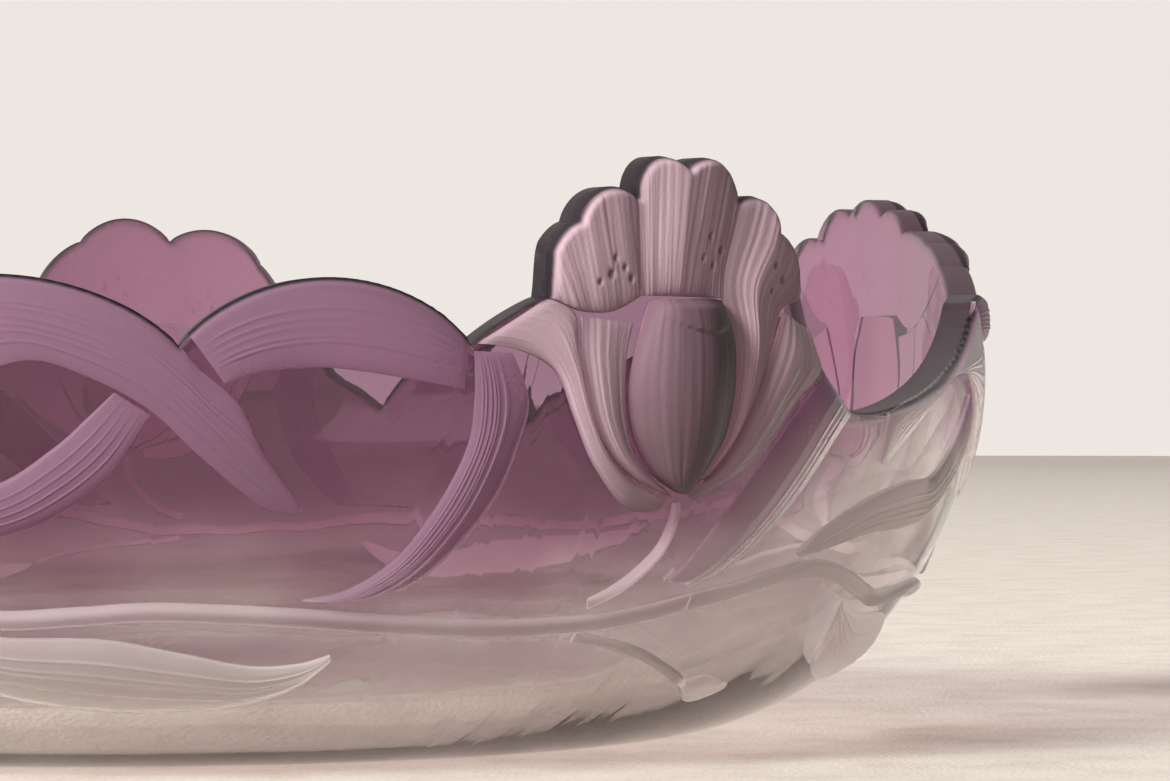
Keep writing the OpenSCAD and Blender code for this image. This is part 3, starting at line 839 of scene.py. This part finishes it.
def make_floor():
    bm = bmesh.new()
    bmesh.ops.create_circle(bm, cap_ends=True, radius=4.8, segments=200)
    bmesh.ops.translate(bm, vec=(0, 0, -0.0002), verts=bm.verts[:])
    mesh = bpy.data.meshes.new("stone_floor")
    bm.to_mesh(mesh)
    bm.free()
    floor = bpy.data.objects.new("stone_floor", mesh)
    bpy.context.scene.collection.objects.link(floor)
    made = bpy.data.materials.new("pale_stone")
    made.use_nodes = True
    tree = made.node_tree
    link = tree.links.new
    shader = tree.nodes["Principled BSDF"]
    shader.inputs["Roughness"].default_value = 0.9
    shader.inputs["Specular IOR Level"].default_value = 0.2
    place = node(tree, "ShaderNodeTexCoord")
    sand = node(tree, "ShaderNodeTexNoise", {"Scale": 900, "Detail": 2, "Roughness": 0.6})
    patches = node(tree, "ShaderNodeTexNoise", {"Scale": 60, "Detail": 3, "Roughness": 0.55})
    added = node(tree, "ShaderNodeMath", operation="MULTIPLY_ADD")
    added.inputs[1].default_value = 0.8
    ramp = node(tree, "ShaderNodeValToRGB")
    ramp.color_ramp.elements[0].position, ramp.color_ramp.elements[0].color = 0.35, (0.53, 0.46, 0.395, 1)
    ramp.color_ramp.elements[1].position, ramp.color_ramp.elements[1].color = 1.35, (0.725, 0.66, 0.59, 1)
    bump = node(tree, "ShaderNodeBump", {"Strength": 0.5, "Distance": 0.0004})
    # Painted shade: the stone darkens towards the foot of the far wall
    away = node(tree, "ShaderNodeVectorMath", operation="LENGTH")
    far = node(tree, "ShaderNodeMapRange", {"From Min": 0.4, "From Max": 4.0, "To Min": 0.0, "To Max": 0.8})
    share, near_colour, far_shade_colour, colour = mix_colour(tree)
    far_shade_colour.default_value = (0.36, 0.315, 0.287, 1)
    link(place.outputs["Object"], away.inputs[0])
    link(away.outputs["Value"], far.inputs["Value"])
    link(far.outputs["Result"], share)
    link(ramp.outputs["Color"], near_colour)
    for texture in (sand, patches):
        link(place.outputs["Object"], texture.inputs["Vector"])
    link(sand.outputs["Fac"], added.inputs[0])
    link(patches.outputs["Fac"], added.inputs[2])
    link(added.outputs[0], ramp.inputs[0])
    # Less light comes back up from the stone than the camera sees on it
    path = node(tree, "ShaderNodeLightPath")
    back, seen_colour, back_colour, stone = mix_colour(tree)
    back_colour.default_value = (0.23, 0.20, 0.185, 1)
    link(path.outputs["Is Diffuse Ray"], back)
    link(colour, seen_colour)
    link(stone, shader.inputs["Base Color"])
    link(sand.outputs["Fac"], bump.inputs["Height"])
    link(bump.outputs["Normal"], shader.inputs["Normal"])
    mesh.materials.append(made)


def make_world():
    """Cream backdrop, seen directly, through the glass and faintly mirrored in it, in a room that is
    bright on the left only."""
    world = bpy.data.worlds.new("studio")
    bpy.context.scene.world = world
    world.use_nodes = True
    tree = world.node_tree
    tree.nodes.clear()
    link = tree.links.new
    out = node(tree, "ShaderNodeOutputWorld")
    seen = node(tree, "ShaderNodeBackground", {"Color": (0.855, 0.800, 0.755, 1), "Strength": 1})
    room = node(tree, "ShaderNodeBackground", {"Color": (0.94, 0.93, 0.94, 1)})
    way = node(tree, "ShaderNodeTexCoord")
    side = node(tree, "ShaderNodeVectorMath", operation="DOT_PRODUCT")
    side.inputs[1].default_value = ROOM_LEFT
    level = node(tree, "ShaderNodeMapRange", {"From Min": -0.3, "From Max": 0.95, "To Min": ROOM_LEVELS[0],
                                              "To Max": ROOM_LEVELS[1]}, interpolation_type="SMOOTHSTEP")
    path = node(tree, "ShaderNodeLightPath")
    through = node(tree, "ShaderNodeMath", operation="MAXIMUM")
    mirrored = node(tree, "ShaderNodeMath", {1: MIRRORED}, operation="MULTIPLY_ADD")
    mirrored.use_clamp = True
    either = node(tree, "ShaderNodeMixShader")
    link(way.outputs["Generated"], side.inputs[0])
    link(side.outputs["Value"], level.inputs["Value"])
    link(level.outputs["Result"], room.inputs["Strength"])
    link(path.outputs["Is Camera Ray"], through.inputs[0])
    link(path.outputs["Is Transmission Ray"], through.inputs[1])
    link(path.outputs["Is Glossy Ray"], mirrored.inputs[0])
    link(through.outputs[0], mirrored.inputs[2])
    link(mirrored.outputs[0], either.inputs[0])
    link(room.outputs[0], either.inputs[1])
    link(seen.outputs[0], either.inputs[2])
    link(either.outputs[0], out.inputs["Surface"])


def aim(lamp, place, target):
    lamp.location = place
    lamp.rotation_euler = (Vector(target) - Vector(place)).to_track_quat("-Z", "Y").to_euler()
    bpy.context.scene.collection.objects.link(lamp)


def make_lamps():
    # The window lights what faces it, but isn't mirrored in the glass or seen through it
    sun = bpy.data.lights.new("window_light", "SUN")
    sun.energy, sun.angle, sun.color = 5.4, math.radians(19), (1.0, 0.98, 0.96)
    window = bpy.data.objects.new("window_light", sun)
    window.visible_glossy = window.visible_transmission = False
    aim(window, (-1.9, -0.38, 1.1), (0, 0, 0.05))
    soft = bpy.data.lights.new("soft_box", "AREA")
    soft.shape, soft.size, soft.size_y, soft.energy = "RECTANGLE", 0.9, 0.7, 6
    aim(bpy.data.objects.new("soft_box", soft), (-1.6, -0.1, 0.8), (0, -0.05, 0.05))


def make_camera():
    camera = bpy.data.cameras.new("camera")
    camera.lens, camera.sensor_width = 157.48, 36
    seen_from = bpy.data.objects.new("camera", camera)
    seen_from.location = (-0.5214, -0.7336, 0.057)
    seen_from.rotation_euler = (math.radians(90.151), 0, math.radians(-40.56))
    bpy.context.scene.collection.objects.link(seen_from)
    bpy.context.scene.camera = seen_from


make_floor()
make_world()
make_lamps()
make_camera()
bpy.context.scene.view_settings.view_transform = "Standard"
